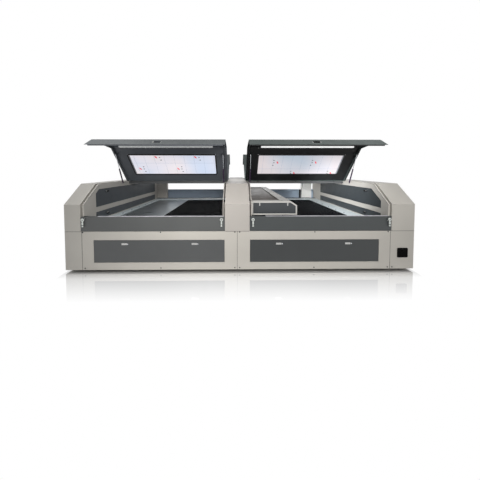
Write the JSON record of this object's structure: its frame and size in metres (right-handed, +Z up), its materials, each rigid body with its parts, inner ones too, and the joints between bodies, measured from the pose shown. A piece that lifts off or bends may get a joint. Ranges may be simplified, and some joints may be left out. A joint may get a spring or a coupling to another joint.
{
  "type": "laser engraving machine",
  "caption": "Long closed laser engraving and cutting machine with a bed through both bays, a travelling gantry and lids front and rear.",
  "frame": {"origin": "centre of the bounding box's footprint, on the floor", "axes": "+X along the machine to the right as seen from the front, +Y from the front to the rear, +Z up"},
  "size_m": [5, 2.536, 1.9266],
  "materials": {
    "casing_light": "light warm grey powder coat with a fine texture",
    "casing_slate": "slate grey powder coat with a fine texture",
    "panel_bronze": "warm grey coat, satin",
    "bed_black": "black honeycomb cells",
    "bare_steel": "ground steel",
    "galvanised": "zinc coated sheet with faint marks",
    "strut_black": "black satin",
    "strut_rod": "polished rod",
    "window_clear": "clear sheet under a pale protective film",
    "lamp_lens": "opal lens",
    "latch_metal": "zinc plated catch",
    "black_plastic": "black moulded plastic",
    "white_paint": "white powder coat",
    "foot_rubber": "dark foot",
    "aluminium_frame": "matt extruded aluminium"
  },
  "bodies": {
    "machine_body": {"base_left": "casing_light", "base_right": "casing_light", "left_end_base": "casing_light", "right_end_base": "casing_light", "left_end_cover": "casing_light", "right_end_cover": "casing_light", "middle_cover": "casing_light", "left_liners": "casing_slate", "right_liners": "casing_slate", "left_hinge_beam": "casing_slate", "right_hinge_beam": "casing_slate", "rear_left_corner_cover": "white_paint", "rear_right_housing": "white_paint", "housing_hose": "black_plastic", "parking_plate": "galvanised", "bed_frame": "casing_light", "honeycomb_panel": "bed_black", "support_slats": "galvanised", "rail_beams": "casing_light", "linear_rails": "bare_steel", "fan_grille": "black_plastic", "rear_upper_panels": "casing_slate", "rear_lower_panels": "casing_slate", "levelling_feet": "foot_rubber", "band_keepers": "galvanised"},
    "left_drop_band": {"left_drop_band": "casing_slate"},
    "left_band_latch_1": {"left_band_latch_1": "latch_metal"},
    "left_band_latch_2": {"left_band_latch_2": "latch_metal"},
    "left_lower_door": {"left_lower_door": "casing_slate"},
    "left_door_paddle_1": {"left_door_paddle_1": "black_plastic"},
    "left_door_paddle_2": {"left_door_paddle_2": "black_plastic"},
    "right_drop_band": {"right_drop_band": "casing_slate"},
    "right_band_latch_1": {"right_band_latch_1": "latch_metal"},
    "right_band_latch_2": {"right_band_latch_2": "latch_metal"},
    "right_lower_door": {"right_lower_door": "casing_slate"},
    "right_door_paddle_1": {"right_door_paddle_1": "black_plastic"},
    "right_door_paddle_2": {"right_door_paddle_2": "black_plastic"},
    "front_left_lid": {"front_left_lid": "casing_slate", "front_left_window": "window_clear", "left_lamp": "lamp_lens"},
    "front_left_strut_cylinders": {"front_left_strut_cylinders": "strut_black"},
    "front_left_strut_rods": {"front_left_strut_rods": "strut_rod"},
    "front_right_lid": {"front_right_lid": "casing_slate", "front_right_window": "window_clear", "right_lamp": "lamp_lens"},
    "front_right_strut_cylinders": {"front_right_strut_cylinders": "strut_black"},
    "front_right_strut_rods": {"front_right_strut_rods": "strut_rod"},
    "rear_left_lid": {"rear_left_lid": "casing_slate", "rear_left_window": "window_clear"},
    "rear_left_strut_cylinders": {"rear_left_strut_cylinders": "strut_black"},
    "rear_left_strut_rods": {"rear_left_strut_rods": "strut_rod"},
    "rear_right_lid": {"rear_right_lid": "casing_slate", "rear_right_window": "window_clear"},
    "rear_right_strut_cylinders": {"rear_right_strut_cylinders": "strut_black"},
    "rear_right_strut_rods": {"rear_right_strut_rods": "strut_rod"},
    "gantry": {"gantry_beam": "aluminium_frame", "gantry_cover": "white_paint", "gantry_end_panels": "casing_slate", "gantry_top_cover": "panel_bronze"},
    "laser_head": {"laser_head": "aluminium_frame"}
  },
  "joints": [
    {"name": "left_drop_band_hinge", "type": "hinge", "parent": "machine_body", "child": "left_drop_band", "pos_m": [-1.251, -1.234, 0.595], "axis": [1, 0, 0], "range_deg": [0, 90]},
    {"name": "left_band_latch_1_turn", "type": "hinge", "parent": "left_drop_band", "child": "left_band_latch_1", "pos_m": [-2.226, -1.242, 0.755], "axis": [0, -1, 0], "range_deg": [0, 90]},
    {"name": "left_band_latch_2_turn", "type": "hinge", "parent": "left_drop_band", "child": "left_band_latch_2", "pos_m": [-0.276, -1.242, 0.755], "axis": [0, 1, 0], "range_deg": [0, 90]},
    {"name": "left_lower_door_hinge", "type": "hinge", "parent": "machine_body", "child": "left_lower_door", "pos_m": [-1.1655, -1.237, 0.144], "axis": [1, 0, 0], "range_deg": [0, 90]},
    {"name": "left_door_paddle_1_turn", "type": "hinge", "parent": "left_lower_door", "child": "left_door_paddle_1", "pos_m": [-1.6955, -1.237, 0.402], "axis": [0, 0, -1], "range_deg": [0, 40]},
    {"name": "left_door_paddle_2_turn", "type": "hinge", "parent": "left_lower_door", "child": "left_door_paddle_2", "pos_m": [-0.6985, -1.237, 0.402], "axis": [0, 0, -1], "range_deg": [0, 40]},
    {"name": "right_drop_band_hinge", "type": "hinge", "parent": "machine_body", "child": "right_drop_band", "pos_m": [1.147, -1.234, 0.595], "axis": [1, 0, 0], "range_deg": [0, 90]},
    {"name": "right_band_latch_1_turn", "type": "hinge", "parent": "right_drop_band", "child": "right_band_latch_1", "pos_m": [0.172, -1.242, 0.755], "axis": [0, -1, 0], "range_deg": [0, 90]},
    {"name": "right_band_latch_2_turn", "type": "hinge", "parent": "right_drop_band", "child": "right_band_latch_2", "pos_m": [2.122, -1.242, 0.755], "axis": [0, 1, 0], "range_deg": [0, 90]},
    {"name": "right_lower_door_hinge", "type": "hinge", "parent": "machine_body", "child": "right_lower_door", "pos_m": [1.0615, -1.237, 0.144], "axis": [1, 0, 0], "range_deg": [0, 90]},
    {"name": "right_door_paddle_1_turn", "type": "hinge", "parent": "right_lower_door", "child": "right_door_paddle_1", "pos_m": [0.5115, -1.237, 0.402], "axis": [0, 0, -1], "range_deg": [0, 40]},
    {"name": "right_door_paddle_2_turn", "type": "hinge", "parent": "right_lower_door", "child": "right_door_paddle_2", "pos_m": [1.5085, -1.237, 0.402], "axis": [0, 0, -1], "range_deg": [0, 40]},
    {"name": "front_left_lid_hinge", "type": "hinge", "parent": "machine_body", "child": "front_left_lid", "pos_m": [-1.251, -0.202, 1.235], "axis": [1, 0, 0], "range_deg": [0, 54.5]},
    {"name": "front_left_strut_turn", "type": "hinge", "parent": "machine_body", "child": "front_left_strut_cylinders", "pos_m": [-1.251, -0.418, 1.215], "axis": [1, 0, 0], "range_deg": [0, 73.3]},
    {"name": "front_left_strut_stroke", "type": "slide", "parent": "front_left_strut_cylinders", "child": "front_left_strut_rods", "axis": [0, -0.3453, 0.9385], "range_m": [-0.1254, 0]},
    {"name": "front_right_lid_hinge", "type": "hinge", "parent": "machine_body", "child": "front_right_lid", "pos_m": [1.147, -0.202, 1.235], "axis": [1, 0, 0], "range_deg": [0, 54.5]},
    {"name": "front_right_strut_turn", "type": "hinge", "parent": "machine_body", "child": "front_right_strut_cylinders", "pos_m": [1.147, -0.418, 1.215], "axis": [1, 0, 0], "range_deg": [0, 73.3]},
    {"name": "front_right_strut_stroke", "type": "slide", "parent": "front_right_strut_cylinders", "child": "front_right_strut_rods", "axis": [0, -0.3453, 0.9385], "range_m": [-0.1254, 0]},
    {"name": "rear_left_lid_hinge", "type": "hinge", "parent": "machine_body", "child": "rear_left_lid", "pos_m": [-1.251, 0.168, 1.235], "axis": [-1, 0, 0], "range_deg": [0, 37.5]},
    {"name": "rear_left_strut_turn", "type": "hinge", "parent": "machine_body", "child": "rear_left_strut_cylinders", "pos_m": [-1.251, 0.384, 1.215], "axis": [-1, 0, 0], "range_deg": [0, 53.27]},
    {"name": "rear_left_strut_stroke", "type": "slide", "parent": "rear_left_strut_cylinders", "child": "rear_left_strut_rods", "axis": [0, 0.6459, 0.7634], "range_m": [-0.0673, 0]},
    {"name": "rear_right_lid_hinge", "type": "hinge", "parent": "machine_body", "child": "rear_right_lid", "pos_m": [1.147, 0.168, 1.235], "axis": [-1, 0, 0], "range_deg": [0, 37.5]},
    {"name": "rear_right_strut_turn", "type": "hinge", "parent": "machine_body", "child": "rear_right_strut_cylinders", "pos_m": [1.147, 0.384, 1.215], "axis": [-1, 0, 0], "range_deg": [0, 53.27]},
    {"name": "rear_right_strut_stroke", "type": "slide", "parent": "rear_right_strut_cylinders", "child": "rear_right_strut_rods", "axis": [0, 0.6459, 0.7634], "range_m": [-0.0673, 0]},
    {"name": "gantry_travel", "type": "slide", "parent": "machine_body", "child": "gantry", "axis": [1, 0, 0], "range_m": [-2.375, 1.25]},
    {"name": "head_travel", "type": "slide", "parent": "gantry", "child": "laser_head", "axis": [0, 1, 0], "range_m": [-0.8, 0.8]}
  ],
  "couplings": [
    {"joint": "front_left_strut_turn", "follows": "front_left_lid_hinge", "ratio": 1.3441},
    {"joint": "front_left_strut_stroke", "follows": "front_left_lid_hinge", "m_per_rad": -0.13165},
    {"joint": "front_right_strut_turn", "follows": "front_right_lid_hinge", "ratio": 1.3441},
    {"joint": "front_right_strut_stroke", "follows": "front_right_lid_hinge", "m_per_rad": -0.13165},
    {"joint": "rear_left_strut_turn", "follows": "rear_left_lid_hinge", "ratio": 1.4192},
    {"joint": "rear_left_strut_stroke", "follows": "rear_left_lid_hinge", "m_per_rad": -0.10245},
    {"joint": "rear_right_strut_turn", "follows": "rear_right_lid_hinge", "ratio": 1.4192},
    {"joint": "rear_right_strut_stroke", "follows": "rear_right_lid_hinge", "m_per_rad": -0.10245}
  ]
}
